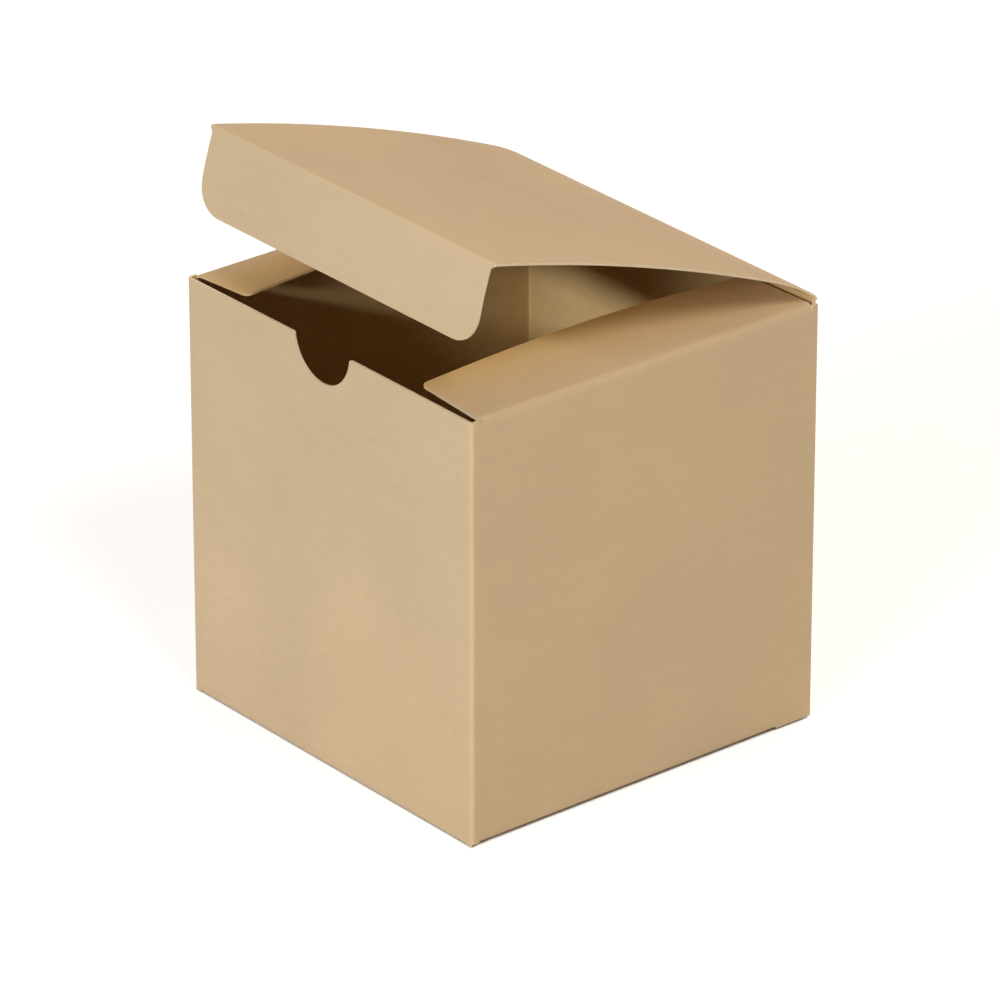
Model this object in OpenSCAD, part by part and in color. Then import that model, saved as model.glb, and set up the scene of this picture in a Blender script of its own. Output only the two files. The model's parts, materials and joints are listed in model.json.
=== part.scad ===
// Tuck-top gift carton folded from one sheet of brown board.
// The lid stands part open on its crease, with its tuck flap hanging from its front edge.
// X runs along the front, the front wall faces -Y and the box stands on Z = 0.

/* [Box] */
// Width of the box over its side walls
box_w = 99; // [70:1:200]
// Depth of the box over its front and back walls
box_d = 98; // [70:1:200]
// Height of the side walls up to the creases of the dust flaps
box_h = 102; // [60:1:250]
// Thickness of the board
board = 0.6; // [0.4:0.05:1]
// Inner radius of a sharp crease
crease_in = 0.3; // [0.2:0.05:0.6]
// How far the front wall's cut edge lies below the side creases
front_drop = 0.3; // [0.1:0.1:3]

/* [Thumb notch] */
// Width of the round thumb notch in the front wall's top edge
notch_w = 19.4; // [10:0.2:30]
// Depth of the thumb notch
notch_depth = 9; // [4:0.2:12]
// How far the notch lies to the left of the front wall's middle
notch_left = 2; // [-20:0.5:20]

/* [Dust flaps] */
// Width of the right dust flap, from the wall's outer face to its free edge
dust_right_w = 21.2; // [14:0.1:32]
// Width of the left dust flap, which is cut a little narrower
dust_left_w = 17.4; // [14:0.1:32]
// Inner radius of the soft fold over which a dust flap turns in
dust_fold_in = 1.2; // [0.4:0.1:3]
// Height to which the middle of a dust flap's free edge springs up
dust_rise = 2.1; // [0:0.1:2.3]
// Gap between the front wall's outer face and a dust flap, at its fold
dust_front_gap = 2.4; // [1.9:0.1:6]
// Gap between the back wall's outer face and a dust flap, at its fold
dust_back_gap = 1.8; // [1.2:0.1:8]
// Slant of a dust flap's cut ends, in degrees
dust_slant = 3; // [0:1:20]
// Radius of a dust flap's free corners
dust_corner = 1.5; // [1:0.5:8]

/* [Lid] */
// Angle to which the lid stands open
lid_open = 20.1; // [0:0.1:180]
// Height of the lid's crease above the side creases, less half the board
lid_step = 0.7; // [0.5:0.1:1.5]
// Gap at each side between the lid's edge and the side wall's outer face
lid_side_gap = 0.5; // [0.3:0.1:3]
// Angle at which the sprung lid leaves its crease, above the line to its front edge
lid_spring = 18.9; // [8:0.1:24]
// Length of board over which that spring bends back
lid_bend_len = 13; // [8:0.5:30]
// Angle through which the board bends back over that length
lid_bend = 15.7; // [6:0.1:20]
// Room left between the closed tuck flap and the front wall
tuck_ease = 0.25; // [0.15:0.05:1]

/* [Tuck flap] */
// Length of the tuck flap along its curve
tuck_len = 19; // [12:0.5:35]
// Radius of the tuck flap's corners
tuck_corner = 7; // [3:0.5:12]
// Clearance between the closed tuck flap and each side wall
tuck_side_gap = 1.1; // [0.3:0.1:3]

/* [Creases that move] */
// Running gap round each of the lid's two creases
crease_gap = 0.3; // [0.25:0.05:0.5]

/* [Glue seam] */
// Width of the glue tab inside the right wall
tab_w = 13; // [8:0.5:25]
// Slant of the glue tab's ends, in degrees
tab_slant = 15; // [5:1:30]
// How far the right wall's cut edge stops short of the back wall's face
seam_set = 0.3; // [0.1:0.1:0.6]

/* [Locked bottom] */
// Air between plies of the bottom that lie on each other
ply_gap = 0.1; // [0.05:0.05:0.3]
// How far the front bottom flap's shoulders reach past the middle
shoulder_reach = 3; // [1:0.5:8]
// Width of the locking tongue
tongue_w = 34; // [20:1:45]
// Distance from the middle to the tongue's tip
tongue_reach = 27; // [20:1:32]
// Depth over which the tongue climbs over the back bottom flap
tongue_ramp = 10; // [6:0.5:12]
// Clearance beside the tongue in its slot
slot_clear = 1; // [0.5:0.1:3]
// How far the back bottom flap's legs reach past the middle, to the front
leg_reach = 9; // [5:0.5:15]
// Clearance between the tongue and the free edge of each side bottom flap
side_clear = 1.5; // [0.5:0.1:8]
// Relief between a bottom flap's root and the neighbouring walls
root_relief = 1.2; // [0.6:0.1:3]
// Depth over which the back bottom flap rises onto the plies below it
back_ramp = 7; // [5:0.5:9]

/* [Hidden] */

outer_brown = [0.80, 0.70, 0.56];
lid_brown = [0.79, 0.68, 0.53];
flap_brown = [0.82, 0.73, 0.60];

// A sharp crease turns the board through this outer radius.
crease_out = crease_in + board;
dust_fold_out = dust_fold_in + board;
front_top = box_h - front_drop;
notch_r = (notch_w * notch_w / 4 + notch_depth * notch_depth) / 2 / notch_depth;
// Each ply of the bottom lies one board and one air gap above the last.
ply = board + ply_gap;
// How far a shape that cuts or joins reaches past what it meets
slack = 1;
// Angle by which two arcs of one sheet run into each other where they join
join_lap = 0.2;
// Corner radii of the bottom's flaps, of its slot, of the tongue's tip and of the tongue's foot
flap_corner = 4;
slot_corner = 3;
tongue_corner = 6;
tongue_foot = 1;
// Sides of a full circle: for creases and small rounds, and for the broad arcs of the lid
round_fn = 48;
broad_fn = 1440;

// The grid of a dust flap: below the fold, round it, and out to the free edge with its round corners
dust_turn_steps = 6;
dust_corner_steps = 5;
dust_row_steps = 20;
// Share of the spring that the front end has, as the sine of this angle
dust_front_phase = 12;
dust_vs = [for (i = [0 : dust_row_steps]) i / dust_row_steps];

// The lid's crease is a round bead in the plane of the back wall.
hinge_y = box_d / 2 - board / 2;
hinge_z = box_h + lid_step + board / 2;
seat_r = board / 2 + crease_gap;
// The closed tuck flap's outer face just clears the front wall, so it turns on this radius.
tuck_r = hinge_y + box_d / 2 - board - tuck_ease - board / 2;
tuck_turn = tuck_len / tuck_r * 180 / PI;
lid_w = box_w - 2 * lid_side_gap;
// Inside the box the tuck flap is narrower than the lid, from where it passes the front wall's edge
tuck_w = box_w - 2 * (board + tuck_side_gap);
tuck_shoulder = hinge_z - front_top;

// The lid's two arcs, drawn shut: forward is the first number, up the second.
bend_r = lid_bend_len / lid_bend * 180 / PI;
bend_centre = bend_r * [sin(lid_spring), -cos(lid_spring)];
bow_start = lid_spring - lid_bend;
bow_from = bend_centre + bend_r * [-sin(bow_start), cos(bow_start)];
bow_line = [tuck_r, 0] - bow_from;
bow_turn = 2 * (bow_start - atan2(bow_line[1], bow_line[0]));
bow_r = norm(bow_line) / 2 / sin(bow_turn / 2);
bow_centre = bow_from + bow_r * [sin(bow_start), -cos(bow_start)];

// The right wall is glued over the tab, so the back wall creases one board further in.
tab_x = box_w / 2 - board;
inner_y = box_d / 2 - crease_out;

// Half the width of the front and back bottom flaps at their creases, and the ends of the side ones
bottom_half = box_w / 2 - crease_out - root_relief;
side_root_front = -box_d / 2 + crease_out + root_relief;
side_root_back = box_d / 2 - crease_out - back_ramp - 2 * root_relief;
side_root = side_root_back - side_root_front;
side_reach = box_w / 2 - tongue_w / 2 - side_clear;

// Direction of a vector in the plane, and the vector turned by an angle
function unit(v) = v / norm(v);
function turned(v, a) = [v[0] * cos(a) - v[1] * sin(a), v[0] * sin(a) + v[1] * cos(a)];

// Outline with each corner rounded: every corner is [x, y, radius]
function rounded(corners, steps = 8) = [
    for (i = [0 : len(corners) - 1])
        let (
            last = corners[(i + len(corners) - 1) % len(corners)],
            here = corners[i],
            next = corners[(i + 1) % len(corners)],
            at = [here[0], here[1]],
            back = unit([last[0], last[1]] - at),
            ahead = unit([next[0], next[1]] - at),
            half = acos(back * ahead) / 2,
            bulge = back[0] * ahead[1] - back[1] * ahead[0],
            centre = at + unit(back + ahead) * here[2] / sin(half),
            first = at + back * here[2] / tan(half) - centre,
            sweep = (180 - 2 * half) * (bulge > 0 ? -1 : 1)
        )
        each here[2] == 0 ? [at] : [for (k = [0 : steps]) centre + turned(first, sweep * k / steps)]
];

// Rectangle with round corners, about the middle
module rounded_plan(w, d, r) {
    square([w - 2 * r, d], center = true);
    square([w, d - 2 * r], center = true);
    for (x = [-1, 1], y = [-1, 1])
        translate([x * (w / 2 - r), y * (d / 2 - r)]) circle(r, $fn = round_fn);
}

// Part of a ring of board whose middle line has radius r, between two angles under 180 degrees apart
module board_arc(r, from, to, fn = round_fn) {
    reach = 2 * r;
    intersection() {
        difference() {
            circle(r + board / 2, $fn = fn);
            circle(r - board / 2, $fn = fn);
        }
        polygon([[0, 0], reach * [cos(from), sin(from)],
                 reach * [cos((from + to) / 2), sin((from + to) / 2)], reach * [cos(to), sin(to)]]);
    }
}

// A section drawn in Y and Z, drawn out along X
module along_x(w) rotate([90, 0, 90]) linear_extrude(w, center = true) children();

// A section drawn in X and Z, drawn out along Y
module along_y(d) rotate([90, 0, 0]) linear_extrude(d, center = true) children();

// Turns what is drawn shut, with the lid's crease at the origin, to where the lid stands
module on_lid() translate([0, hinge_y, hinge_z]) rotate([-lid_open, 0, 0]) children();

// Section of a bottom flap: a stub of wall, its crease and a level sheet, from the wall inwards
module flap_section(reach, rise = 0) {
    translate([0, rise + crease_out - slack / 2]) square([board, slack]);
    translate([crease_out, rise + crease_out]) board_arc(crease_out - board / 2, 180, 270);
    translate([crease_out, rise]) square([reach - crease_out, board]);
}

// Section of a sheet that climbs in a soft S, from one height to another
module climbing_section(from, to, low, high, steps = 10) {
    path = [for (i = [0 : steps]) [from + (to - from) * i / steps,
                                   low + (high - low) * (1 - cos(180 * i / steps)) / 2]];
    polygon([each path, for (i = [steps : -1 : 0]) path[i] + [0, board]]);
}

// Walls

// Plan of the walls, from the right wall's cut edge round to the tab that turns in behind it
module wall_plan() {
    difference() {
        rounded_plan(box_w, box_d, crease_out);
        rounded_plan(box_w - 2 * board, box_d - 2 * board, crease_in);
        translate([tab_x - crease_out, inner_y]) square(2 * crease_out);
    }
    translate([tab_x, inner_y - slack]) square([board, crease_out + slack - seam_set]);
    translate([tab_x - crease_out, inner_y]) board_arc(crease_out - board / 2, 0, 90);
    translate([tab_x - board, box_d / 2 - tab_w]) square([board, tab_w - crease_out]);
}

// What is cut away round the glue tab: above it and below it, along its slanted ends
module tab_trim() {
    high = box_h - dust_fold_out;
    low = ply + crease_out;
    tip = box_d / 2 - tab_w - slack;
    past = box_d / 2 + slack;
    drop = (inner_y - tip) * tan(tab_slant);
    top = hinge_z + slack;
    translate([tab_x - crease_out / 2, 0, 0]) along_x(crease_out) {
        polygon([[past, high], [inner_y, high], [tip, high - drop], [tip, top], [past, top]]);
        polygon([[past, low], [inner_y, low], [tip, low + drop], [tip, -slack], [past, -slack]]);
    }
}

// The four walls as one tube, open above the creases of the flaps
module wall_tube() {
    fold_low = box_h - dust_fold_out;
    fold_from = -box_d / 2 + dust_front_gap;
    fold_to = box_d / 2 - dust_back_gap;
    // Each step in height lies inside a vertical crease, past the board's inner face
    mid_crease = board + crease_in / 2;
    difference() {
        linear_extrude(hinge_z) wall_plan();
        // Room above the front and side walls
        translate([-box_w, -box_d, front_top]) cube([2 * box_w, 1.5 * box_d - mid_crease, box_h]);
        for (side = [-1, 1])
            translate([side * (box_w - mid_crease), 0, front_top + box_h / 2])
                cube([box_w, 2 * box_d, box_h], center = true);
        // Room for the soft folds of the dust flaps
        for (side = [-1, 1])
            translate([side * box_w / 2, (fold_from + fold_to) / 2, fold_low + box_h / 2])
                cube([4 * board, fold_to - fold_from, box_h], center = true);
        // The side walls stand one ply higher than the front and back walls
        for (side = [-1, 1])
            translate([side * box_w / 2, 0, 0]) cube([2 * mid_crease, 2 * box_d, 2 * ply], center = true);
        // Room for the creases of the bottom flaps
        for (side = [-1, 1]) {
            translate([side * box_w / 2, (side_root_front + side_root_back) / 2, 0])
                cube([4 * board, side_root_back - side_root_front, 2 * (ply + crease_out)], center = true);
            translate([0, side * box_d / 2, 0])
                cube([2 * bottom_half, 4 * board, 2 * crease_out], center = true);
        }
        tab_trim();
        // The lid's crease lies in a round seat along the back wall
        translate([0, hinge_y, hinge_z]) along_x(2 * box_w) circle(seat_r, $fn = round_fn);
        // Thumb notch, an arc a little shallower than a half round
        translate([-notch_left, -box_d / 2, front_top - notch_depth + notch_r]) along_y(4 * crease_out)
            circle(notch_r, $fn = 2 * round_fn);
    }
}

// Dust flaps, as a grid of places: u is 0 to 1 round the fold and 1 to 2 from there to the free edge, and
// v is 0 at the front and 1 at the back. The length of board past the fold is called flat.

// Slope to which the flap has sprung up at v: nothing at the back, a little at the front
function dust_spring(v, flat) =
    asin(dust_rise / flat * sin(dust_front_phase + (180 - dust_front_phase) * v));

// How far a cut end is set back at u: its slant, and the round of its corner
function dust_end(u, flat) =
    let (run = max(u - 1, 0) * flat,
         into = max(run - (flat - dust_corner), 0) / dust_corner)
    run * tan(dust_slant) + dust_corner * (1 - sqrt(max(1 - into * into, 0)));

// A place on the flap's middle face, its outer face (side 1) or its inner one (side -1)
function dust_place(u, v, side, flat) =
    let (slope = dust_spring(v, flat),
         turn = 90 - slope,
         mid = dust_fold_out - board / 2,
         lift = side * board / 2,
         angle = min(max(u, 0), 1) * turn,
         heel = [-mid + (mid + lift) * cos(angle), (mid + lift) * sin(angle)],
         run = max(u - 1, 0) * flat,
         drop = min(u, 0) * 2 * slack,
         section = heel + run * [-cos(slope), sin(slope)] + [0, drop],
         from = -box_d / 2 + dust_front_gap + dust_end(u, flat),
         to = box_d / 2 - dust_back_gap - dust_end(u, flat))
    [box_w / 2 - board / 2 + section[0], from + (to - from) * v, box_h - dust_fold_out + section[1]];

// Dust flap on the right, of width w
module dust_flap(w) {
    flat = w - dust_fold_out;
    round_share = dust_corner / flat;
    us = [
        -1,
        for (i = [0 : dust_turn_steps]) i / dust_turn_steps,
        2 - round_share,
        for (i = [1 : dust_corner_steps]) 2 - round_share * (1 - sin(90 * i / dust_corner_steps))
    ];
    nu = len(us);
    nv = len(dust_vs);
    function at(i, j, side) = (side > 0 ? 0 : nu * nv) + i * nv + j;
    places = [for (side = [1, -1], u = us, v = dust_vs) dust_place(u, v, side, flat)];
    skin = [for (i = [0 : nu - 2], j = [0 : nv - 2], half = [0, 1])
        let (a = at(i, j, 1), b = at(i + 1, j, 1), c = at(i + 1, j + 1, 1), d = at(i, j + 1, 1))
        half == 0 ? [a, b, c] : [a, c, d]];
    lining = [for (f = skin) [for (k = [2, 1, 0]) f[k] + nu * nv]];
    ends = [for (i = [0 : nu - 2], j = [0, nv - 1], half = [0, 1])
        let (a = at(i, j, 1), b = at(i + 1, j, 1), c = at(i + 1, j, -1), d = at(i, j, -1),
             f = half == 0 ? [a, d, c] : [a, c, b])
        j == 0 ? f : [f[2], f[1], f[0]]];
    sides = [for (j = [0 : nv - 2], i = [0, nu - 1], half = [0, 1])
        let (a = at(i, j, 1), b = at(i, j + 1, 1), c = at(i, j + 1, -1), d = at(i, j, -1),
             f = half == 0 ? [a, b, c] : [a, c, d])
        i == 0 ? f : [f[2], f[1], f[0]]];
    polyhedron(places, [each skin, each lining, each ends, each sides]);
}

// Bottom, locked one, two, three: back flap, side flaps, then the front flap with its tongue

// Front bottom flap, the outermost ply, with the tongue that climbs through the slot
module front_bottom_flap() {
    half = bottom_half;
    root = -box_d / 2;
    tongue = tongue_w / 2;
    ramp_end = shoulder_reach + tongue_ramp;
    outline = rounded([
        [-half, root - slack, 0], [half, root - slack, 0], [half, root + 2 * crease_out, 0],
        [half - root_relief, shoulder_reach, flap_corner], [tongue, shoulder_reach, tongue_foot],
        [tongue - root_relief, tongue_reach, tongue_corner],
        [root_relief - tongue, tongue_reach, tongue_corner],
        [-tongue, shoulder_reach, tongue_foot], [root_relief - half, shoulder_reach, flap_corner],
        [-half, root + 2 * crease_out, 0]
    ]);
    intersection() {
        linear_extrude(box_h) polygon(outline);
        along_x(box_w) {
            translate([root, 0]) flap_section(shoulder_reach - root);
            climbing_section(shoulder_reach, ramp_end, 0, 3 * ply);
            translate([ramp_end, 3 * ply]) square([tongue_reach, board]);
        }
    }
}

// Side bottom flap on the right, the middle ply
module side_bottom_flap() {
    root = box_w / 2;
    front = side_root_front;
    back = side_root_back;
    outline = rounded([
        [root + slack, front, 0], [root + slack, back, 0], [root - crease_out, back, 0],
        [root - side_reach, back - side_root / 14, flap_corner],
        [root - side_reach, front + side_root / 4, flap_corner],
        [root - side_reach / 3, front + side_root / 28, flap_corner], [root - crease_out, front, 0]
    ]);
    intersection() {
        linear_extrude(box_h) polygon(outline);
        along_y(box_d) translate([root, 0]) mirror([1, 0]) flap_section(side_reach + slack, ply);
    }
}

// Back bottom flap, the innermost ply, with the slot between its two legs
module back_bottom_flap() {
    half = bottom_half;
    root = box_d / 2;
    slot = tongue_w / 2 + slot_clear;
    slot_end = shoulder_reach + tongue_ramp + slot_clear;
    tip = -leg_reach;
    outline = rounded([
        [half, root + slack, 0], [-half, root + slack, 0], [-half, root - back_ramp, 0],
        [-half + 2 * root_relief, tip, flap_corner], [-slot, tip, slot_corner],
        [-slot, slot_end, slot_corner], [slot, slot_end, slot_corner], [slot, tip, slot_corner],
        [half - 2 * root_relief, tip, flap_corner], [half, root - back_ramp, 0]
    ]);
    intersection() {
        linear_extrude(box_h) polygon(outline);
        along_x(box_w) translate([root, 0]) mirror([1, 0]) {
            flap_section(crease_out + slack / 2);
            climbing_section(crease_out, crease_out + back_ramp, 0, 2 * ply);
            translate([crease_out + back_ramp, 2 * ply]) square([root + leg_reach, board]);
        }
    }
}

// Sub-parts

// The folded sheet: walls, glue seam, dust flaps and locked bottom
module carton() {
    color(outer_brown) union() {
        wall_tube();
        dust_flap(dust_right_w);
        mirror([1, 0, 0]) dust_flap(dust_left_w);
        front_bottom_flap();
        side_bottom_flap();
        mirror([1, 0, 0]) side_bottom_flap();
        back_bottom_flap();
    }
}

// The lid panel: the bead of its crease, the sprung bend beside it and the long shallow bow
module lid() {
    color(lid_brown) on_lid() along_x(lid_w) mirror([1, 0]) difference() {
        union() {
            circle(board / 2, $fn = round_fn);
            translate(bend_centre) board_arc(bend_r, 90 + bow_start - join_lap, 90 + lid_spring, broad_fn);
            translate(bow_centre) board_arc(bow_r, 90 + bow_start - bow_turn, 90 + bow_start, broad_fn);
        }
        translate([tuck_r, 0]) circle(seat_r, $fn = round_fn);
    }
}

// The tuck flap, curled to the circle on which it slides in behind the front wall
module tuck_flap() {
    half = tuck_w / 2;
    outline = rounded([
        [-lid_w / 2, board, 0], [-lid_w / 2, 0, 0], [-half, -tuck_shoulder, 0],
        [-half, -tuck_len, tuck_corner], [half, -tuck_len, tuck_corner],
        [half, -tuck_shoulder, 0], [lid_w / 2, 0, 0], [lid_w / 2, board, 0]
    ]);
    color(flap_brown) on_lid() intersection() {
        along_x(lid_w) mirror([1, 0]) {
            translate([tuck_r, 0]) circle(board / 2, $fn = round_fn);
            board_arc(tuck_r, -tuck_turn, 0, broad_fn);
        }
        translate([0, -tuck_r, 0]) rotate([90 - tuck_turn / 2, 0, 0])
            linear_extrude(tuck_r, center = true) polygon(outline);
    }
}

carton();
lid();
tuck_flap();
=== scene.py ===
import json
import math

import bmesh
import bpy
from mathutils import Matrix, Vector


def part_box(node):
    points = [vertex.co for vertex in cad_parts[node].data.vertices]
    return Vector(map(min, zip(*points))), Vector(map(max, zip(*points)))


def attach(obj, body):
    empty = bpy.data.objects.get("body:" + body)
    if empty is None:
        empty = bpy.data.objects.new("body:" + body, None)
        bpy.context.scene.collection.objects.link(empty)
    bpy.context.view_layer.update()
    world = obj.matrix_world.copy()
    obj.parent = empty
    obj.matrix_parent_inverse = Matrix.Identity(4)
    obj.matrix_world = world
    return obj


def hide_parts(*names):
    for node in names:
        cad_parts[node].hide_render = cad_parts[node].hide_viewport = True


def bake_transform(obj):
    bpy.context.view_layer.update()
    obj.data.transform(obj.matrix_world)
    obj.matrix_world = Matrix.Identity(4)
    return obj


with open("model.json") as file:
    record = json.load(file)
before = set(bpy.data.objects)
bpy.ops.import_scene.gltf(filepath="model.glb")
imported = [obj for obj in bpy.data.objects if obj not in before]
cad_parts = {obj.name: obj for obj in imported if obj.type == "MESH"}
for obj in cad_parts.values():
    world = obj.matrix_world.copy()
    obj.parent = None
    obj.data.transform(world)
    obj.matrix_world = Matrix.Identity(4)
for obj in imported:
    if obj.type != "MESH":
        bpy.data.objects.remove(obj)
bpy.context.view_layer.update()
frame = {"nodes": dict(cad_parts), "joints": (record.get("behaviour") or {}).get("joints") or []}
print("frame loaded:", sorted(frame["nodes"]))

mm = 0.001  # lengths are in millimetres unless a note says metres; the finished meshes are in metres
joints = {j["name"]: Vector(j["pos_m"]) / mm for j in frame["joints"]}
hinge, foldLine = joints["lid_hinge"], joints["tuck_fold"]
cartonLow, cartonHigh = (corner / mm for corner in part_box("carton"))
width, depth = (cartonHigh - cartonLow).xy

board = {
    "thick": 0.6,          # solid board of 24 points
    "creaseIn": 0.3,       # inner radius of a sharp crease
    "bendSteps": 5,        # facets in a quarter turn of a crease
    "grid": 3.2,           # spacing of the walls' grid
    "beside": (0.5, 1.6),  # its first two lines beside a crease
    "creaseShows": 1.6,    # how far from its line a crease's lighter band reaches: a painted highlight on the inside faces, a hair lighter outside
    "cornerSteps": 7,      # facets of a round corner
    "edgeRound": 0.07,     # how far a cut edge is rubbed round
    "edgeSteps": 2,
    "edgeFrom": 50,        # degrees from which an edge counts as cut
    "weld": 0.002,         # points of two pieces of the blank that lie this close are one
}
middle = board["thick"] / 2
creaseOut = board["creaseIn"] + board["thick"]
creaseMid = creaseOut - middle
quarter = creaseMid * math.pi / 2  # length of board in a square crease
fine, coarse = board["beside"]

walls = {
    "height": 102.0,
    "frontDrop": 0.3,   # the front wall's edge lies this much lower
    "seamSet": 0.3,     # the right wall's raw edge stops short by this
    "tabWide": 13.0,
    "tabSlant": 15.0,   # degrees
    "tabCorner": 1.5,
    "ply": 0.7,         # one board and the air under it
    "relief": 1.2,      # cut beside each bottom flap's root
    "bow": 0.22,        # how far a wall's middle sinks in
    "sealTop": 0.6,     # the back wall stops this far below the lid's crease line
}
frontTop = walls["height"] - walls["frontDrop"]
ply, relief = walls["ply"], walls["relief"]


def ahead(angle):
    return Vector((math.cos(angle), math.sin(angle)))


def inward(angle):
    return Vector((-math.sin(angle), math.cos(angle)))


def spaced(start, end, step):
    # places inside a stretch, evenly spaced and no further apart than step
    count = max(1, math.ceil((end - start) / step))
    return [start + (end - start) * k / count for k in range(1, count)]


# The walls' middle line in plan, walked from the glue tab's tip round to the right wall's raw edge
stretches = [
    ("tab", walls["tabWide"] - creaseOut), ("tabCrease", quarter),
    ("back", width - board["thick"] - 2 * creaseOut), ("backLeftCrease", quarter),
    ("left", depth - 2 * creaseOut), ("frontLeftCrease", quarter),
    ("front", width - 2 * creaseOut), ("frontRightCrease", quarter),
    ("right", depth - creaseOut - walls["seamSet"]),
]


def walkPlan():
    rows, reached, heading = {}, 0, math.pi / 2
    point = Vector((width / 2 - board["thick"] - middle, depth / 2 - walls["tabWide"]))
    for name, length in stretches:
        bends = name.endswith("Crease")
        rows[name] = {"from": reached, "to": reached + length, "point": point, "heading": heading}
        rows[name]["bends"] = bends
        if bends:
            point = point + creaseMid * (inward(heading) + ahead(heading))
            heading += math.pi / 2
        else:
            point = point + length * ahead(heading)
        reached += length
    return rows


plan = walkPlan()
creaseCentres = [(row["from"] + row["to"]) / 2 for row in plan.values() if row["bends"]]


def planPlace(name, s):
    # where the middle line is at s, and the way it heads there
    row = plan[name]
    run = s - row["from"]
    if not row["bends"]:
        return row["point"] + run * ahead(row["heading"]), row["heading"]
    angle = row["heading"] + run / creaseMid
    return row["point"] + creaseMid * (inward(row["heading"]) - inward(angle)), angle


def planCentre(name):
    # s of the place on a wall that lies on the box's middle plane
    row = plan[name]
    return row["from"] + abs(row["point"].x)


def flapSpan(name, low, high):
    # the stretch of s between two places in Y on a side wall, which the left wall meets in reverse
    row = plan[name]
    offsets = [abs(row["point"].y - y) for y in (low, high)]
    return row["from"] + min(offsets), row["from"] + max(offsets)


def acrossCuts(name, extra=()):
    # where a wall and its flaps are cut along s, finer beside a crease
    start, end = plan[name]["from"], plan[name]["to"]
    if plan[name]["bends"]:
        return [start + quarter * k / board["bendSteps"] for k in range(1, board["bendSteps"])]
    near = [start + fine, start + coarse, end - coarse, end - fine]
    return sorted(near + list(extra) + spaced(start + coarse, end - coarse, board["grid"]))


def flatPiece(corners, across, upward, rounds=()):
    # a flat piece of the blank with s across and t upward, cut into a grid
    # rounds gives the cut length and the numbers of the corners to round
    bm = bmesh.new()
    ring = [bm.verts.new((s, t, 0)) for s, t in corners]
    bm.faces.new(ring)
    for size, picks in rounds:
        bmesh.ops.bevel(bm, geom=[ring[k] for k in picks], offset=size, affect="VERTICES",
                        segments=board["cornerSteps"], profile=0.5, material=-1)
    for places, normal in ((across, (1, 0, 0)), (upward, (0, 1, 0))):
        for place in places:
            everything = bm.verts[:] + bm.edges[:] + bm.faces[:]
            spot = Vector(normal) * place
            bmesh.ops.bisect_plane(bm, geom=everything, dist=1e-4, plane_co=spot, plane_no=normal)
    return bm


def foldInto(sheet, piece, place, creases=((), ()), underLidShadeAt=None):
    # bends a flat piece into place and adds it to the sheet; its own flat place stays as its UV map
    # creases are lines of s and lines of t, and the last argument gives the painted shade at t, warmer and
    # darker under the lid
    uv = piece.loops.layers.uv.new("blank")
    crease = piece.verts.layers.float.new("crease")
    underLidShade = piece.verts.layers.float.new("underLidShade")
    shows = board["creaseShows"]
    for face in piece.faces:
        for loop in face.loops:
            loop[uv].uv = loop.vert.co.xy * mm
    for vert in piece.verts:
        s, t = vert.co.xy
        away = [abs(s - c) for c in creases[0]] + [abs(t - c) for c in creases[1]]
        vert[crease] = max(0, 1 - min(away, default=shows) / shows)
        # painted shade under the lid, kept as an attribute for the finish
        vert[underLidShade] = underLidShadeAt(t) if underLidShadeAt else 0
        vert.co = place(s, t)
    held = bpy.data.meshes.new("held")
    piece.to_mesh(held)
    piece.free()
    sheet.from_mesh(held)
    bpy.data.meshes.remove(held)


dust = {
    "right": 21.2,       # width from the wall's outer face
    "left": 17.4,
    "foldIn": 1.2,       # inner radius of the soft fold
    "foldSteps": 6,
    "foldShows": 0.8,    # where on the fold its crease shows, as a share of the fold's radius
    "rise": 2.1,         # how far the middle of the free edge springs up
    "frontPhase": 12.0,  # degrees of the spring's half wave at which the front end lies
    "frontGap": 2.4,     # from the front wall's outer face to the flap's cut end
    "backGap": 1.8,
    "slant": 3.0,        # degrees
    "corner": 1.5,
    "grid": 2.6,
    "underLidShadeSooner": {"left": 0.6, "right": 0},  # shares of its width by which a flap's painted shade starts sooner
    "underLidShadeCurve": 1.6,    # above 1 the painted shade gathers at the free edge
}
dustMid = dust["foldIn"] + middle
dustFold = walls["height"] - dust["foldIn"] - board["thick"]  # height at which the soft folds start
dustFrom, dustTo = -depth / 2 + dust["frontGap"], depth / 2 - dust["backGap"]
dustCrease = dustFold + dustMid * dust["foldShows"]

notch = {"wide": 19.4, "deep": 9.0, "toLeft": 2.0, "steps": 26, "ease": 0.5}
bottom = {
    "shoulder": 3.0,      # how far the front flap reaches past the box's middle
    "tongueWide": 34.0,
    "tongueReach": 27.0,
    "tongueRamp": 10.0,   # depth over which the tongue climbs through the slot
    "backRamp": 7.0,      # depth over which the back flap rises onto the plies below it
    "slotClear": 1.0,
    "legReach": 9.0,
    "sideClear": 1.5,
    "sideBack": 14,       # a side flap's free corners, as divisors of its root's length and of its reach
    "sideFront": 4,
    "sideHeel": 28,
    "sideHeelReach": 3,
    "corner": 4.0,
    "slotCorner": 3.0,
    "tongueCorner": 6.0,
    "grid": 6,
    "tongueGrid": 1.6,
    "rampGrid": 0.9,
}
tongue = bottom["tongueWide"] / 2
sideFrom = -depth / 2 + creaseOut + relief
sideTo = depth / 2 - creaseOut - bottom["backRamp"] - 2 * relief

# Heights that the bottom flaps leave the walls at: front and back, and the sides one ply higher
rootLow, rootHigh = creaseOut, ply + creaseOut
flapReach = depth / 2 - middle - creaseMid
midPlace = rootLow - quarter - flapReach  # flat place of the box's middle on the front and back flaps

rowHeights = [ply, creaseOut, rootHigh, rootHigh + coarse, dustFold - coarse, dustFold]
rowHeights += spaced(rootHigh + coarse, dustFold - coarse, board["grid"]) + [frontTop]


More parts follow.
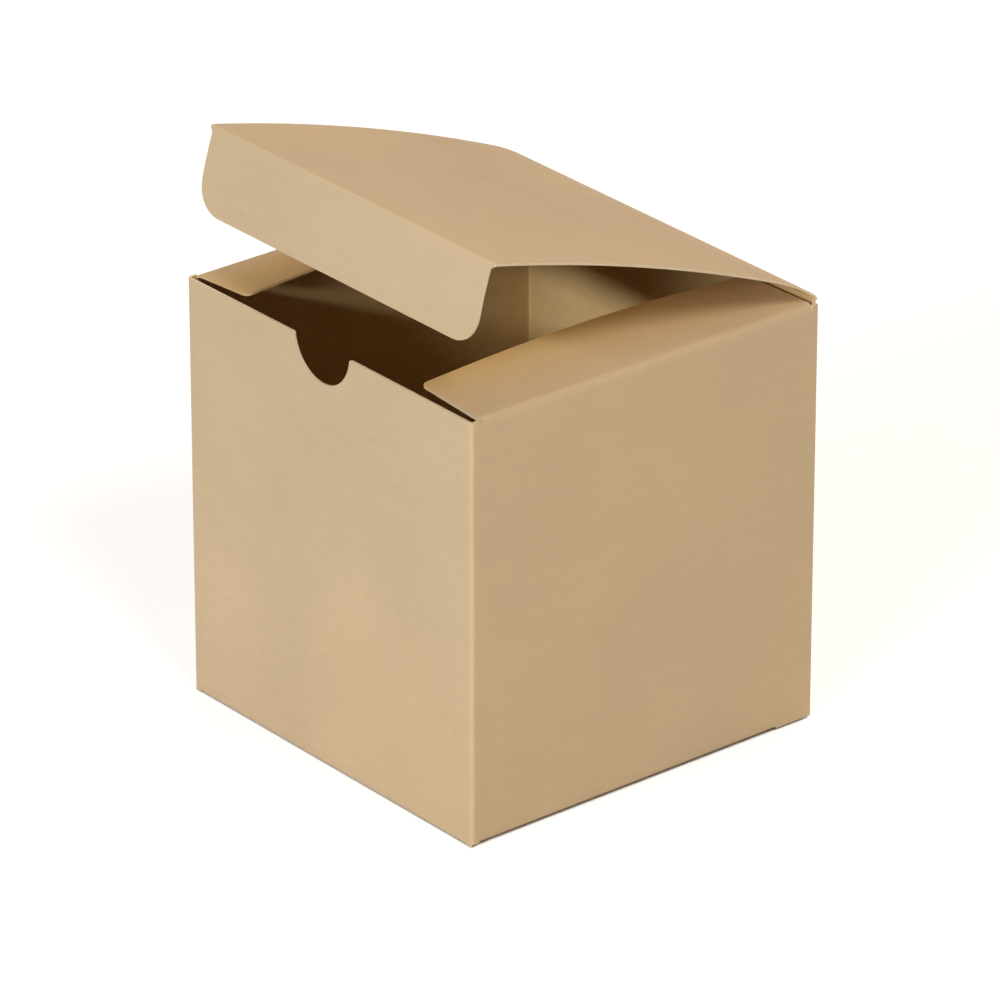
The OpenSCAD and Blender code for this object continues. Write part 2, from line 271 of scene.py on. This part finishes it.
def wallPlace(name, low, high):
    # a wall's own place, its middle sunk in a little between the creases low and high
    row = plan[name]

    def place(s, t):
        point, heading = planPlace(name, s)
        if not row["bends"] and name != "tab":
            upShare = min(max((t - low) / (high - low), 0), 1)
            upShare = upShare / 2 if name == "front" else upShare  # its top edge is free and sinks in most
            length = row["to"] - row["from"]
            share = math.sin(math.pi * (s - row["from"]) / length) * math.sin(math.pi * upShare)
            point = point + walls["bow"] * max(share, 0) * inward(heading)
        return Vector((*point, t))
    return place


def bottomPlace(name, start, rise):
    # a bottom flap turns in from its wall at height start, and rise says how high it lies at each depth
    def place(s, t):
        point, heading = planPlace(name, s)
        run = start - t
        angle = min(run / creaseMid, math.pi / 2)
        reach = creaseMid * (1 - math.cos(angle)) + max(run - quarter, 0)
        level = start - creaseMid * math.sin(angle) + rise(reach)
        return Vector((*(point + reach * inward(heading)), level))
    return place


def dustPlace(name, flatWide):
    # a dust flap is a cone's surface: each place along the fold has its own slope
    def place(s, t):
        point, heading = planPlace(name, s)
        run = t - dustFold
        v = (point.y - dustFrom) / (dustTo - dustFrom)
        phase = math.radians(dust["frontPhase"] + (180 - dust["frontPhase"]) * min(max(v, 0), 1))
        slope = math.asin(dust["rise"] / flatWide * math.sin(phase))
        turn = math.pi / 2 - slope
        angle = min(run / dustMid, turn)
        flat = max(run - dustMid * turn, 0)
        reach = dustMid * (1 - math.cos(angle)) + flat * math.cos(slope)
        level = dustFold + dustMid * math.sin(angle) + flat * math.sin(slope)
        return Vector((*(point + reach * inward(heading)), level))
    return place


def climb(start, length, height):
    # a soft S, from nothing at depth start to its whole height past length
    def rise(reach):
        share = min(max((reach - start) / length, 0), 1)
        return height * (1 - math.cos(math.pi * share)) / 2
    return rise


def addColumn(sheet, name, corners, low=0, high=1, lines=(), cuts=(), rounds=()):
    piece = flatPiece(corners, cuts or acrossCuts(name), rowHeights, rounds)
    foldInto(sheet, piece, wallPlace(name, low, high), (creaseCentres, lines))


def addCorners(sheet, backTop):
    # the glue tab and its crease, then the other three, whose foot steps up by one ply at a side wall
    row = plan["tab"]
    a, b = row["from"], row["to"]
    slant = (walls["tabWide"] - creaseOut) * math.tan(math.radians(walls["tabSlant"]))
    tab = [(a, rootHigh + slant), (b, rootHigh), (b, dustFold), (a, dustFold - slant)]
    addColumn(sheet, "tab", tab, rounds=[(walls["tabCorner"], (0, 3))])
    row = plan["tabCrease"]
    a, b = row["from"], row["to"]
    addColumn(sheet, "tabCrease", [(a, rootHigh), (b, rootHigh), (b, backTop), (a, backTop)])
    others = [
        ("backLeftCrease", 0, ply, backTop), ("frontLeftCrease", ply, 0, frontTop),
        ("frontRightCrease", 0, ply, frontTop),
    ]
    for name, footFrom, footTo, top in others:
        row = plan[name]
        a, b = row["from"], row["to"]
        half = (a + b) / 2
        corners = [(a, footFrom), (half, footFrom), (half, footTo), (b, footTo), (b, frontTop), (a, top)]
        addColumn(sheet, name, corners, cuts=acrossCuts(name) + [half])


def addBack(sheet, backTop):
    row = plan["back"]
    a, b = row["from"], row["to"]
    corners = [
        (a, 0), (a + relief, 0), (a + relief, creaseOut), (b - relief, creaseOut), (b - relief, 0), (b, 0),
        (b, backTop), (a, backTop),
    ]
    cuts = acrossCuts("back", [a + relief, b - relief])
    addColumn(sheet, "back", corners, creaseOut, backTop, [creaseOut / 2, hinge.z], cuts)


def addFront(sheet):
    # the thumb notch is an arc a little shallower than a half round, its lips eased
    row = plan["front"]
    a, b, centre = row["from"], row["to"], (row["from"] + row["to"]) / 2
    radius = (notch["wide"] ** 2 / 4 + notch["deep"] ** 2) / 2 / notch["deep"]
    notchMid = frontTop - notch["deep"] + radius
    half = math.acos((notchMid - frontTop) / radius)
    angles = [half * (1 - 2 * k / notch["steps"]) for k in range(notch["steps"] + 1)]
    arc = [(centre - notch["toLeft"] + radius * math.sin(x), notchMid - radius * math.cos(x)) for x in angles]
    corners = [
        (a, 0), (a + relief, 0), (a + relief, creaseOut), (b - relief, creaseOut), (b - relief, 0), (b, 0),
        (b, frontTop),
    ]
    lips = (len(corners), len(corners) + notch["steps"])
    cuts = acrossCuts("front", [a + relief, b - relief])
    corners += arc + [(a, frontTop)]
    addColumn(sheet, "front", corners, creaseOut, frontTop, [creaseOut / 2], cuts, [(notch["ease"], lips)])


def addSides(sheet):
    for name in ("left", "right"):
        row = plan[name]
        a, b = row["from"], row["to"]
        footFrom, footTo = flapSpan(name, sideFrom, sideTo)
        headFrom, headTo = flapSpan(name, dustFrom, dustTo)
        corners = [
            (a, ply), (footFrom, ply), (footFrom, rootHigh), (footTo, rootHigh), (footTo, ply), (b, ply),
            (b, frontTop), (headTo, frontTop), (headTo, dustFold), (headFrom, dustFold), (headFrom, frontTop),
            (a, frontTop),
        ]
        cuts = acrossCuts(name, [footFrom, footTo, headFrom, headTo])
        addColumn(sheet, name, corners, rootHigh, dustFold, [rootHigh - creaseOut / 2, dustCrease], cuts)


def addDustFlaps(sheet):
    turned = dustMid * math.pi / 2
    flatFrom = dustFold + turned
    for name in ("left", "right"):
        flatWide = dust[name] - dust["foldIn"] - board["thick"]
        slantIn = flatWide * math.tan(math.radians(dust["slant"]))
        top = flatFrom + flatWide
        rows = [dustFold + turned * k / dust["foldSteps"] for k in range(1, dust["foldSteps"] + 1)]
        rows += spaced(flatFrom, top, dust["grid"])
        a, b = flapSpan(name, dustFrom, dustTo)
        ends = flapSpan(name, sideFrom, sideTo)
        corners = [
            (a, dustFold), (b, dustFold), (b, flatFrom),
            (b - slantIn, top), (a + slantIn, top), (a, flatFrom),
        ]
        # painted shade: a dust flap's colour turns warmer and darker towards its free edge, under the lid
        underLidShadeFrom = flatFrom - dust["underLidShadeSooner"][name] * flatWide

        def underLidShadeAt(t):
            return min(max((t - underLidShadeFrom) / flatWide, 0), 1) ** dust["underLidShadeCurve"]

        piece = flatPiece(corners, acrossCuts(name, [*ends, a, b]), rows, [(dust["corner"], (3, 4))])
        foldInto(sheet, piece, dustPlace(name, flatWide), (creaseCentres, [dustCrease]), underLidShadeAt)


def bendRows(start):
    # places down a bottom flap's crease, from where it leaves its wall
    return [start - quarter * k / board["bendSteps"] for k in range(1, board["bendSteps"] + 1)]


def addFrontFlap(sheet):
    # the outermost ply, with the tongue that climbs through the slot over three plies
    row = plan["front"]
    a, b, centre = row["from"] + relief, row["to"] - relief, (row["from"] + row["to"]) / 2
    waist = rootLow - quarter - creaseOut
    shoulder, tip = midPlace - bottom["shoulder"], midPlace - bottom["tongueReach"]
    corners = [
        (b, rootLow), (b, waist), (b - relief, shoulder), (centre + tongue, shoulder),
        (centre + tongue - relief, tip), (centre - tongue + relief, tip),
        (centre - tongue, shoulder), (a + relief, shoulder), (a, waist), (a, rootLow),
    ]
    rows = bendRows(rootLow) + spaced(tip, shoulder, bottom["tongueGrid"]) + [shoulder]
    rows += spaced(shoulder, rootLow - quarter, bottom["grid"])
    rounds = [(bottom["corner"], (7, 2)), (bottom["tongueCorner"], (5, 4))]
    rise = climb(flapReach + creaseMid + bottom["shoulder"], bottom["tongueRamp"], 3 * ply)
    piece = flatPiece(corners[::-1], acrossCuts("front", [a, b]), rows, rounds)
    foldInto(sheet, piece, bottomPlace("front", rootLow, rise), (creaseCentres, [creaseOut / 2]))


def addBackFlap(sheet):
    # the innermost ply, with the slot between its two legs
    row = plan["back"]
    a, b, centre = row["from"] + relief, row["to"] - relief, planCentre("back")
    slot = tongue + bottom["slotClear"]
    slotEnd = midPlace + bottom["shoulder"] + bottom["tongueRamp"] + bottom["slotClear"]
    tip, rampEnd = midPlace - bottom["legReach"], rootLow - quarter - bottom["backRamp"]
    corners = [
        (b, rootLow), (b, rampEnd), (b - 2 * relief, tip), (centre + slot, tip), (centre + slot, slotEnd),
        (centre - slot, slotEnd), (centre - slot, tip), (a + 2 * relief, tip), (a, rampEnd), (a, rootLow),
    ]
    rows = bendRows(rootLow) + spaced(rampEnd, rootLow - quarter, bottom["rampGrid"]) + [rampEnd]
    rows += spaced(tip, rampEnd, bottom["grid"])
    rounds = [(bottom["corner"], (7, 2)), (bottom["slotCorner"], (6, 5, 4, 3))]
    rise = climb(creaseMid, bottom["backRamp"], 2 * ply)
    piece = flatPiece(corners[::-1], acrossCuts("back", [a, b]), rows, rounds)
    foldInto(sheet, piece, bottomPlace("back", rootLow, rise), (creaseCentres, [creaseOut / 2]))


def addSideFlaps(sheet):
    # the middle ply, level all the way
    reach = width / 2 - tongue - bottom["sideClear"] - creaseOut
    flatFrom = rootHigh - quarter
    end, heel = flatFrom - reach, flatFrom - reach / bottom["sideHeelReach"]
    for name in ("left", "right"):
        a, b = flapSpan(name, sideFrom, sideTo)
        root = b - a
        forward = 1 if name == "left" else -1  # the left wall runs from back to front
        backEnd, frontEnd = (a, b) if name == "left" else (b, a)
        corners = [
            (backEnd, rootHigh), (backEnd, flatFrom), (backEnd + forward * root / bottom["sideBack"], end),
            (frontEnd - forward * root / bottom["sideFront"], end),
            (frontEnd - forward * root / bottom["sideHeel"], heel),
            (frontEnd, flatFrom), (frontEnd, rootHigh),
        ][::forward]
        rows = bendRows(rootHigh) + spaced(end, flatFrom, bottom["grid"])
        ends = flapSpan(name, dustFrom, dustTo)
        piece = flatPiece(corners, acrossCuts(name, [*ends, a, b]), rows, [(bottom["corner"], (2, 3, 4))])
        place = bottomPlace(name, rootHigh, lambda reach: 0)
        foldInto(sheet, piece, place, (creaseCentres, [rootHigh - creaseOut / 2]))


def makeCarton():
    sheet, backTop = bmesh.new(), hinge.z - walls["sealTop"]
    addCorners(sheet, backTop)
    addBack(sheet, backTop)
    addFront(sheet)
    addSides(sheet)
    addDustFlaps(sheet)
    addFrontFlap(sheet)
    addBackFlap(sheet)
    addSideFlaps(sheet)
    return sheet


def finishSheet(name, bm, materials):
    # joins the pieces of a sheet, then gives it the board's thickness and rubs its cut edges round
    bmesh.ops.remove_doubles(bm, verts=bm.verts, dist=board["weld"])
    bmesh.ops.scale(bm, vec=(mm, mm, mm), verts=bm.verts)
    for face in bm.faces:
        face.smooth = True
    mesh = bpy.data.meshes.new(name)
    bm.to_mesh(mesh)
    bm.free()
    piece = bpy.data.objects.new(name, mesh)
    bpy.context.scene.collection.objects.link(piece)
    for material in materials:
        mesh.materials.append(material)
    shell = piece.modifiers.new("thickness", "SOLIDIFY")
    shell.thickness = board["thick"] * mm
    shell.offset = 0
    shell.use_even_offset = True
    shell.material_offset = 1
    shell.material_offset_rim = 2
    worn = piece.modifiers.new("rubbed edges", "BEVEL")
    worn.width = board["edgeRound"] * mm
    worn.segments = board["edgeSteps"]
    worn.limit_method = "ANGLE"
    worn.angle_limit = math.radians(board["edgeFrom"])
    worn.harden_normals = True
    return piece


# One board seen from outside, from inside and at its cut edges, in the order of the shell's materials
finishes = {
    "kraftOuter": {"tone": (0.600, 0.440, 0.268), "clouds": 0.03, "fibres": 0.04, "flecks": 0.10,
                   "creases": 1.01, "rough": 0.78, "bump": 0.10},
    # inside: the board's own inner tone, pushed warmer and more saturated as painted shade for light bounced
    # about inside the box; its creases are lifted as a painted highlight
    "kraftInnerToneAndShade": {"tone": (0.675, 0.455, 0.200), "clouds": 0.05, "fibres": 0.06, "flecks": 0.14,
                   "creases": 1.12, "rough": 0.88, "bump": 0.20},
    "kraftEdge": {"tone": (0.700, 0.560, 0.380), "clouds": 0.05, "fibres": 0.05, "flecks": 0.05,
                  "creases": 1.0, "rough": 0.92, "bump": 0.30},
}
pulp = {  # each noise in the board: its scale, detail and roughness, and the values that it is spread over
    "clouds": (34, 3, 0.55, (0.3, 0.7)),
    "fibres": (2600, 3, 0.62, (0.25, 0.75)),
    "streaks": (420, 2, 0.55, (0.25, 0.75)),
    "flecks": (1500, 1, 0.55, (0.68, 0.78)),
    "tints": (11, 2, 0.55, (0.35, 0.65)),
}
sheen = {
    "gloss": 0.28,
    "fibreLength": 0.09,        # scale along the fibres, which lie mostly along the sheet's own grain
    "fibreHeight": 0.00006,     # metres
    "creaseFrom": 0.3,          # a crease's lighter band, a painted highlight inside the box, shows where its attribute is above this
    "tintLow": (0.97, 0.97, 0.97),
    "tintHigh": (1.03, 1.02, 0.98),
    "underLidShade": (1.00, 0.88, 0.58),  # painted shade: the dust flaps' colour is multiplied by this towards their free edges, where the lid shades them
}


def combine(nodes, links, operation, *values):
    made = nodes.new("ShaderNodeMath")
    made.operation = operation
    for value, socket in zip(values, made.inputs):
        links.new(value, socket)
    return made.outputs["Value"]


def ramp(nodes, links, value, between, dark, light):
    made = nodes.new("ShaderNodeMapRange")
    made.inputs["From Min"].default_value, made.inputs["From Max"].default_value = between
    made.inputs["To Min"].default_value = dark
    made.inputs["To Max"].default_value = light
    links.new(value, made.inputs["Value"])
    return made.outputs["Result"]


def boardMaterial(name, look):
    material = bpy.data.materials.new(name)
    material.use_nodes = True
    nodes, links = material.node_tree.nodes, material.node_tree.links
    surface = nodes["Principled BSDF"]
    surface.inputs["Roughness"].default_value = look["rough"]
    surface.inputs["Specular IOR Level"].default_value = sheen["gloss"]

    def noise(vector, kind):
        scale, detail, roughness, between = pulp[kind]
        made = nodes.new("ShaderNodeTexNoise")
        made.inputs["Scale"].default_value = scale
        made.inputs["Detail"].default_value = detail
        made.inputs["Roughness"].default_value = roughness
        links.new(vector, made.inputs["Vector"])
        return made.outputs["Fac"], between

    def spread(source, dark, light):
        value, between = source
        return ramp(nodes, links, value, between, dark, light)

    def attribute(name):
        made = nodes.new("ShaderNodeAttribute")
        made.attribute_name = name
        return made.outputs["Fac"]

    def tinted(factor, low, high):
        made = nodes.new("ShaderNodeMix")
        made.data_type = "RGBA"
        made.inputs["A"].default_value = (*low, 1)
        made.inputs["B"].default_value = (*high, 1)
        links.new(factor, made.inputs["Factor"])
        return made.outputs["Result"]

    place = nodes.new("ShaderNodeTexCoord").outputs["Object"]
    flat = nodes.new("ShaderNodeUVMap")
    flat.uv_map = "blank"
    grain = nodes.new("ShaderNodeMapping")
    grain.inputs["Scale"].default_value = (sheen["fibreLength"], 1, 1)
    links.new(flat.outputs["UV"], grain.inputs["Vector"])
    fibreWay = grain.outputs["Vector"]

    clouds, fibres, flecks = look["clouds"], look["fibres"], look["flecks"]
    fibreNoise = noise(fibreWay, "fibres")
    lift = spread(noise(place, "clouds"), 1 - clouds, 1 + clouds)
    for factor in (
        spread(fibreNoise, 1 - fibres, 1 + fibres),
        spread(noise(fibreWay, "streaks"), 1 - clouds / 2, 1 + clouds / 2),
        spread(noise(place, "flecks"), 1, 1 - flecks),
        # crease lift: a painted highlight along the inside creases, and the outside ones a hair lighter
        ramp(nodes, links, attribute("crease"), (sheen["creaseFrom"], 1), 1, look["creases"]),
    ):
        lift = combine(nodes, links, "MULTIPLY", lift, factor)

    low, high = ([c * f for c, f in zip(look["tone"], sheen[end])] for end in ("tintLow", "tintHigh"))
    coloured = nodes.new("ShaderNodeVectorMath")
    coloured.operation = "SCALE"
    links.new(tinted(spread(noise(place, "tints"), 0, 1), low, high), coloured.inputs["Vector"])
    links.new(lift, coloured.inputs["Scale"])
    # painted shade: the colour times the under-lid tint, by the attribute set on the dust flaps
    underLidShaded = nodes.new("ShaderNodeVectorMath")
    underLidShaded.operation = "MULTIPLY"
    links.new(coloured.outputs["Vector"], underLidShaded.inputs[0])
    links.new(tinted(attribute("underLidShade"), (1, 1, 1), sheen["underLidShade"]), underLidShaded.inputs[1])
    links.new(underLidShaded.outputs["Vector"], surface.inputs["Base Color"])

    bump = nodes.new("ShaderNodeBump")
    bump.inputs["Strength"].default_value = look["bump"]
    bump.inputs["Distance"].default_value = sheen["fibreHeight"]
    links.new(fibreNoise[0], bump.inputs["Height"])
    links.new(bump.outputs["Normal"], surface.inputs["Normal"])
    return material


boardLook = [boardMaterial(name, look) for name, look in finishes.items()]
print("board materials made")

carton = finishSheet("cartonSheet", makeCarton(), boardLook)
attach(carton, "carton")
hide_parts("carton")
print("carton folded:", len(carton.data.polygons), "faces in the sheet")

# The lid's profile when shut: forward from the crease is first, up is second
lid = {
    "sideGap": 0.5,
    "spring": 18.9,      # degrees at which it leaves its crease
    "bendLength": 13.0,  # length over which that spring bends back
    "bend": 15.7,        # degrees
    "strip": 0.6,        # board on each side of a crease line that turns with it
    "stripSteps": 8,
    "across": 5,         # spacings of its grid
    "along": 2,
}
tuck = {
    "length": 19.0,
    "corner": 7.0,
    "sideGap": 1.1,      # to each side wall, when shut
    "across": 3,
    "along": 1.2,
}
lidHalf = width / 2 - lid["sideGap"]
tuckHalf = width / 2 - board["thick"] - tuck["sideGap"]
openAngle = math.atan2(foldLine.z - hinge.z, hinge.y - foldLine.y)
tuckRadius = (foldLine - hinge).length  # the shut tuck flap lies on a circle round the lid's crease
bendRadius = lid["bendLength"] / math.radians(lid["bend"])
springAngle = math.radians(lid["spring"])
bowAngle = springAngle - math.radians(lid["bend"])


def arcPoint(centre, radius, angle):
    # on an arc that bends down, where the sheet heads up by that angle
    return centre + radius * Vector((-math.sin(angle), math.cos(angle)))


bendCentre = -arcPoint(Vector((0, 0)), bendRadius, springAngle)
bowFrom = arcPoint(bendCentre, bendRadius, bowAngle)
bowLine = Vector((tuckRadius, 0)) - bowFrom
bowTurn = 2 * (bowAngle - math.atan2(bowLine.y, bowLine.x))
bowRadius = bowLine.length / 2 / math.sin(bowTurn / 2)
bowCentre = -arcPoint(-bowFrom, bowRadius, bowAngle)
lidLength = lid["bendLength"] + bowRadius * bowTurn


def lidProfile(run):
    if run < lid["bendLength"]:
        return arcPoint(bendCentre, bendRadius, springAngle - run / bendRadius)
    return arcPoint(bowCentre, bowRadius, bowAngle - (run - lid["bendLength"]) / bowRadius)


def tuckProfile(run):
    return tuckRadius * Vector((math.cos(run / tuckRadius), -math.sin(run / tuckRadius)))


def standing(profile):
    # from the shut lid's profile to where the lid stands, as Y and Z
    shut = Vector((0, -profile.x, profile.y))
    return (Matrix.Rotation(-openAngle, 3, "X") @ shut + hinge).yz


def fillet(corner, comesFrom, goesTo, share):
    # a round bend past a corner, between two points at equal distances from it
    into, out = (corner - comesFrom).normalized(), (goesTo - corner).normalized()
    turn = math.acos(max(-1, min(1, into.dot(out))))
    radius = (corner - comesFrom).length / math.tan(turn / 2)
    centre = corner + (out - into).normalized() * radius / math.cos(turn / 2)
    side = 1 if into.x * out.y - into.y * out.x > 0 else -1
    spoke, angle = comesFrom - centre, side * turn * share
    return centre + Vector((spoke.x * math.cos(angle) - spoke.y * math.sin(angle),
                            spoke.x * math.sin(angle) + spoke.y * math.cos(angle)))


strip = lid["strip"]
hingeLine, tuckLine = hinge.yz, foldLine.yz
hingeFrom, hingeTo = hingeLine - Vector((0, strip)), standing(lidProfile(strip))
tuckFrom, tuckTo = standing(lidProfile(lidLength - strip)), standing(tuckProfile(strip))
stripRows = [strip * (2 * k / lid["stripSteps"] - 1) for k in range(1, lid["stripSteps"] + 1)]


def bentPlace(line, comesFrom, goesTo, profile):
    # run is measured from the crease, and below strip it is the crease's own bend
    def place(x, run):
        if run < strip:
            return Vector((x, *fillet(line, comesFrom, goesTo, (run + strip) / 2 / strip)))
        return Vector((x, *standing(profile(run))))
    return place


def makeLid():
    sheet = bmesh.new()
    top = lidLength - strip
    corners = [(-lidHalf, top), (lidHalf, top), (lidHalf, -strip), (-lidHalf, -strip)]  # so its outside is up
    rows = stripRows + spaced(strip, top, lid["along"])
    piece = flatPiece(corners, spaced(-lidHalf, lidHalf, lid["across"]), rows)
    foldInto(sheet, piece, bentPlace(hingeLine, hingeFrom, hingeTo, lidProfile), ((), [0, lidLength]))
    return sheet


def makeTuck():
    # below its shoulders the flap is narrower, to pass between the side walls
    sheet = bmesh.new()
    end, shoulder = tuck["length"], hinge.z - frontTop
    right = [(lidHalf, -strip), (lidHalf, 0), (tuckHalf, shoulder), (tuckHalf, end)]
    corners = right + [(-x, run) for x, run in right[::-1]]
    rows = stripRows + spaced(strip, end, tuck["along"])
    across = spaced(-tuckHalf, tuckHalf, tuck["across"])
    piece = flatPiece(corners[::-1], across, rows, [(tuck["corner"], (3, 4))])
    foldInto(sheet, piece, bentPlace(tuckLine, tuckFrom, tuckTo, tuckProfile), ((), [0]))
    return sheet


def atMiddle(spot):
    return Vector((0, *spot)) * mm


lidSheet = finishSheet("lidSheet", makeLid(), boardLook)
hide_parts("lid")
atMiddle(hingeFrom)
atMiddle(hingeTo)
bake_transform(lidSheet)
tuckSheet = finishSheet("tuckSheet", makeTuck(), boardLook)
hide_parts("tuck_flap")
atMiddle(tuckFrom)
atMiddle(tuckTo)
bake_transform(tuckSheet)
print("lid and tuck flap made")

# Floor, world, lamps and camera, with their lengths in metres
studio = {
    "floorSize": 1.6,
    "floorDrop": 0.0001,  # keeps the floor off the bottom's face
    "floorTone": 0.80,
    "floorRough": 0.9,
    "floorGlow": 0.42,    # seen by the camera alone, so that the floor is as white as the background
    "underBox": 0.0486,   # from the middle to where the glow starts, so that none shows through the bottom
    "glowEdge": 0.0004,   # and over which it comes up
    "ambient": 0.12,
    "lampsAway": 1.6,
    "lampsAim": (0, 0, 0.06),
}
lamps = {
    # a low strip light for the front, which also shines in under the lid, then one from the right and one
    # from behind; azimuths are in degrees from the front towards the right
    "key": {"azimuth": 15, "height": 22.5, "size": (0.9, 0.12), "power": 16.8, "tint": (0.89, 0.94, 1.0)},
    "side": {"azimuth": 80, "height": 50, "size": (0.6, 0.6), "power": 11.2, "tint": (1.0, 0.93, 0.83)},
    "back": {"azimuth": 215, "height": 45, "size": (1.2, 1.2), "power": 12.5, "tint": (1.0, 0.91, 0.81)},
}
view = {
    "place": (1.1921, -0.9794, 0.7913),
    "tilt": 25.644,     # degrees below level
    "azimuth": 50.609,  # degrees
    "lens": 277.35,     # millimetres
    "clip": (0.1, 20),
}


def seenDirectly(nodes, links):
    # 1 where the camera, a glossy ray or a transmitted ray looks
    rays = nodes.new("ShaderNodeLightPath").outputs
    either = combine(nodes, links, "MAXIMUM", rays["Is Camera Ray"], rays["Is Glossy Ray"])
    return combine(nodes, links, "MAXIMUM", either, rays["Is Transmission Ray"])


def makeFloor():
    bm = bmesh.new()
    bmesh.ops.create_grid(bm, x_segments=2, y_segments=2, size=studio["floorSize"] / 2)
    bmesh.ops.translate(bm, vec=(0, 0, -studio["floorDrop"]), verts=bm.verts)
    mesh = bpy.data.meshes.new("floor")
    bm.to_mesh(mesh)
    bm.free()
    floor = bpy.data.objects.new("floor", mesh)
    bpy.context.scene.collection.objects.link(floor)
    material = bpy.data.materials.new("paleFloor")
    material.use_nodes = True
    nodes, links = material.node_tree.nodes, material.node_tree.links
    surface = nodes["Principled BSDF"]
    surface.inputs["Base Color"].default_value = (studio["floorTone"],) * 3 + (1,)
    surface.inputs["Roughness"].default_value = studio["floorRough"]
    surface.inputs["Specular IOR Level"].default_value = 0
    surface.inputs["Emission Color"].default_value = (1, 1, 1, 1)
    place = nodes.new("ShaderNodeSeparateXYZ")
    links.new(nodes.new("ShaderNodeTexCoord").outputs["Object"], place.inputs["Vector"])
    away = [combine(nodes, links, "ABSOLUTE", place.outputs[axis]) for axis in "XY"]
    furthest = combine(nodes, links, "MAXIMUM", *away)
    edge = (studio["underBox"], studio["underBox"] + studio["glowEdge"])
    outside = ramp(nodes, links, furthest, edge, 0, studio["floorGlow"])
    glow = combine(nodes, links, "MULTIPLY", seenDirectly(nodes, links), outside)
    links.new(glow, surface.inputs["Emission Strength"])
    mesh.materials.append(material)


def makeWorld():
    world = bpy.data.worlds.new("paleRoom")
    bpy.context.scene.world = world
    world.use_nodes = True
    nodes, links = world.node_tree.nodes, world.node_tree.links
    strength = ramp(nodes, links, seenDirectly(nodes, links), (0, 1), studio["ambient"], 1)
    links.new(strength, nodes["Background"].inputs["Strength"])
    nodes["Background"].inputs["Color"].default_value = (1, 1, 1, 1)


def addLamp(name, look):
    lamp = bpy.data.lights.new(name, "AREA")
    lamp.shape = "ELLIPSE"
    lamp.size, lamp.size_y = look["size"]
    lamp.energy = look["power"]
    lamp.color = look["tint"]
    holder = bpy.data.objects.new(name, lamp)
    target = Vector(studio["lampsAim"])
    turn, rise = math.radians(look["azimuth"]), math.radians(look["height"])
    aim = Vector((math.sin(turn) * math.cos(rise), -math.cos(turn) * math.cos(rise), math.sin(rise)))
    holder.location = target + aim * studio["lampsAway"]
    holder.rotation_euler = (target - holder.location).to_track_quat("-Z", "Y").to_euler()
    bpy.context.scene.collection.objects.link(holder)


def addCamera():
    camera = bpy.data.objects.new("camera", bpy.data.cameras.new("camera"))
    camera.location = view["place"]
    camera.rotation_euler = (math.radians(90 - view["tilt"]), 0, math.radians(view["azimuth"]))
    camera.data.lens = view["lens"]
    camera.data.clip_start, camera.data.clip_end = view["clip"]
    bpy.context.scene.collection.objects.link(camera)
    bpy.context.scene.camera = camera


makeFloor()
makeWorld()
for lampName, lampLook in lamps.items():
    addLamp(lampName, lampLook)
addCamera()
bpy.context.scene.view_settings.view_transform = "Standard"
print("studio made")

bpy.context.view_layer.update()
